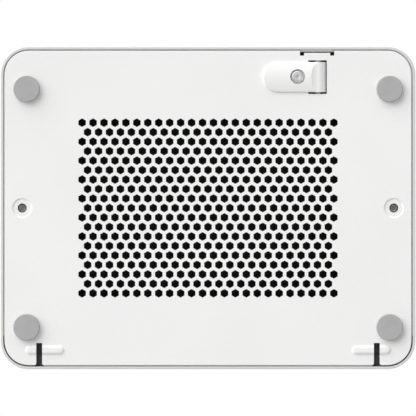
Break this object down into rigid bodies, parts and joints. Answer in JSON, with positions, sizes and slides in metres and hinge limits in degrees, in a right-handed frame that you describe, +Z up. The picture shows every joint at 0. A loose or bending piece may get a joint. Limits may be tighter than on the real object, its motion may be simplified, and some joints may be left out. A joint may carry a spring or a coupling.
{
  "type": "wireless router",
  "caption": "Flat white box router on round feet, with a hexagon-vented bottom cover, a hinged lock lever with captive screw, wall-bracket slots and network sockets at the rear.",
  "frame": {"origin": "middle of the case's outline, on the plane under the four feet", "axes": "+X to the right seen from the front, +Y to the rear with its sockets, +Z up"},
  "size_m": [0.1894, 0.1472, 0.031],
  "materials": {
    "cover_white": "fine matte texture",
    "shell_white": "fine matte texture",
    "lever_white": "smooth satin",
    "foot_rubber": "matte",
    "foot_adhesive": "tacky",
    "dark_plastic": "matte",
    "zinc_steel": "zinc-plated",
    "steel": "ground",
    "brass": "knurled",
    "board_green": "solder-resist gloss",
    "film_black": "matte",
    "chip_black": "matte",
    "pad_grey": "soft",
    "heatsink_aluminium": "extruded",
    "tinned_sheet": "tinned",
    "socket_black": "satin",
    "socket_blue": "satin",
    "contact_gold": "plated",
    "capacitor_sleeve": "shrink sleeve",
    "ferrite": "matte",
    "clear_plastic": "clear moulded",
    "led_body": "translucent",
    "button_grey": "satin",
    "lead_black": "smooth jacket"
  },
  "bodies": {
    "case": {"upper_shell": "shell_white", "bottom_cover": "cover_white", "foot_front_left": "foot_rubber", "foot_front_right": "foot_rubber", "foot_rear_left": "foot_rubber", "foot_rear_right": "foot_rubber", "foot_adhesive_pads": "foot_adhesive", "case_screws": "zinc_steel", "hook_socket_left": "dark_plastic", "hook_socket_right": "dark_plastic", "lever_screw_insert": "brass", "main_board": "board_green", "board_screws": "zinc_steel", "insulator_film": "film_black", "processor": "chip_black", "thermal_pad": "pad_grey", "heatsink": "heatsink_aluminium", "radio_shield_left": "tinned_sheet", "radio_shield_right": "tinned_sheet", "memory_chips": "chip_black", "line_transformers": "chip_black", "capacitors": "capacitor_sleeve", "power_inductor": "ferrite", "jack_shields": "tinned_sheet", "lan_jack_1": "socket_black", "lan_jack_2": "socket_black", "lan_jack_3": "socket_black", "lan_jack_4": "socket_black", "wan_jack": "socket_blue", "lan_jack_contacts": "contact_gold", "wan_jack_contacts": "contact_gold", "dc_jack": "socket_black", "dc_jack_pin": "zinc_steel", "wps_switch": "chip_black", "reset_switch": "chip_black", "light_pipe": "clear_plastic", "status_leds": "led_body", "aerial_left": "board_green", "aerial_right": "board_green", "aerial_lead_left": "lead_black", "aerial_lead_right": "lead_black", "aerial_plugs": "contact_gold"},
    "lever": {"lock_lever": "lever_white", "lever_pin": "steel"},
    "lock_washer": {"lever_screw_washer": "zinc_steel"},
    "lock_screw": {"lever_screw": "zinc_steel"},
    "wps_button": {"wps_button": "button_grey"},
    "reset_plunger": {"reset_plunger": "button_grey"}
  },
  "joints": [
    {"name": "lever_hinge", "type": "hinge", "parent": "case", "child": "lever", "pos_m": [-0.0503, 0.0598, 0.00535], "axis": [0, 1, 0], "range_deg": [0, 80]},
    {"name": "screw_travel", "type": "slide", "parent": "lever", "child": "lock_washer", "axis": [0, 0, -1], "range_m": [0, 0.0015]},
    {"name": "screw_turn", "type": "hinge", "parent": "lock_washer", "child": "lock_screw", "pos_m": [-0.0409, 0.05995, 0.0027], "axis": [0, 0, -1], "range_deg": [0, 1080]},
    {"name": "pairing_press", "type": "slide", "parent": "case", "child": "wps_button", "axis": [0, -1, 0], "range_m": [0, 0.0008], "stiffness_N_per_m": 600, "springref_m": -0.001},
    {"name": "reset_press", "type": "slide", "parent": "case", "child": "reset_plunger", "axis": [0, -1, 0], "range_m": [0, 0.0006], "stiffness_N_per_m": 600, "springref_m": -0.001}
  ],
  "couplings": [
    {"joint": "screw_turn", "follows": "screw_travel", "rad_per_m": 12566}
  ]
}
